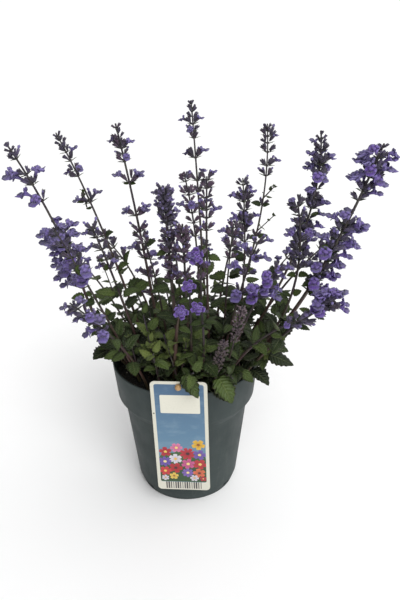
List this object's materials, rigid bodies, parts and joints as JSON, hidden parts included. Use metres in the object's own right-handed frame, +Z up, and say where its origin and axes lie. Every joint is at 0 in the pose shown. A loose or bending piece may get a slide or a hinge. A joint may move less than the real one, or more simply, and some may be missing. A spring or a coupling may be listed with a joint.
{
  "type": "potted catmint plant",
  "caption": "Catmint in a round nursery pot: upright spikes of small violet lipped flowers over a mound of wrinkled leaves, with a hang label on the pot.",
  "frame": {"origin": "centre of the pot's flat underside, on the surface that it stands on", "axes": "+Z up along the pot's axis, +X to the right as seen from the front, and the label hangs on the -Y side"},
  "size_m": [0.2826, 0.2051, 0.3542],
  "materials": {
    "pot_plastic": "matte",
    "potting_soil": "matte",
    "label_card": "satin",
    "peg_plastic": "satin",
    "flowering_stem": "matte",
    "spent_stem": "matte",
    "leafy_shoot": "matte",
    "stalk": "matte",
    "leaf": "matte",
    "petal": "matte",
    "calyx": "matte",
    "spent_calyx": "matte"
  },
  "bodies": {
    "root": {"flower_stem_back_centre": "flowering_stem", "flower_stem_back_far_left": "flowering_stem", "flower_stem_back_far_right": "flowering_stem", "flower_stem_back_left": "flowering_stem", "flower_stem_back_middle": "flowering_stem", "flower_stem_back_right": "flowering_stem", "flower_stem_centre_front": "flowering_stem", "flower_stem_centre_left": "flowering_stem", "flower_stem_centre_left_low": "flowering_stem", "flower_stem_centre_short": "flowering_stem", "flower_stem_centre_tall": "flowering_stem", "flower_stem_far_left": "flowering_stem", "flower_stem_far_right": "flowering_stem", "flower_stem_front_bright": "flowering_stem", "flower_stem_front_bright_left": "flowering_stem", "flower_stem_front_bright_right": "flowering_stem", "flower_stem_front_low": "flowering_stem", "flower_stem_front_thick": "flowering_stem", "flower_stem_front_twin": "flowering_stem", "flower_stem_left_drooping": "flowering_stem", "flower_stem_left_inner": "flowering_stem", "flower_stem_left_low": "flowering_stem", "flower_stem_left_tall": "flowering_stem", "flower_stem_right_back": "flowering_stem", "flower_stem_right_drooping": "flowering_stem", "flower_stem_right_forked": "flowering_stem", "flower_stem_right_front": "flowering_stem", "flower_stem_right_inner": "flowering_stem", "flower_stem_right_inner_low": "flowering_stem", "flower_stem_right_leaning": "flowering_stem", "flower_stem_right_low": "flowering_stem", "flower_stem_right_middle": "flowering_stem", "flower_stem_right_tall": "flowering_stem", "label": "label_card", "label_peg": "peg_plastic", "leafy_shoot_back": "leafy_shoot", "leafy_shoot_back_left": "leafy_shoot", "leafy_shoot_back_right": "leafy_shoot", "leafy_shoot_front": "leafy_shoot", "leafy_shoot_front_left": "leafy_shoot", "leafy_shoot_front_right": "leafy_shoot", "leafy_shoot_inner_back": "leafy_shoot", "leafy_shoot_inner_front": "leafy_shoot", "leafy_shoot_inner_left": "leafy_shoot", "leafy_shoot_inner_right": "leafy_shoot", "leafy_shoot_left": "leafy_shoot", "leafy_shoot_left_back": "leafy_shoot", "leafy_shoot_right": "leafy_shoot", "leafy_shoot_right_back": "leafy_shoot", "pot": "pot_plastic", "soil": "potting_soil", "spent_stem_front": "spent_stem", "spent_stem_right": "spent_stem", "spent_stem_rim": "spent_stem"}
  },
  "joints": []
}
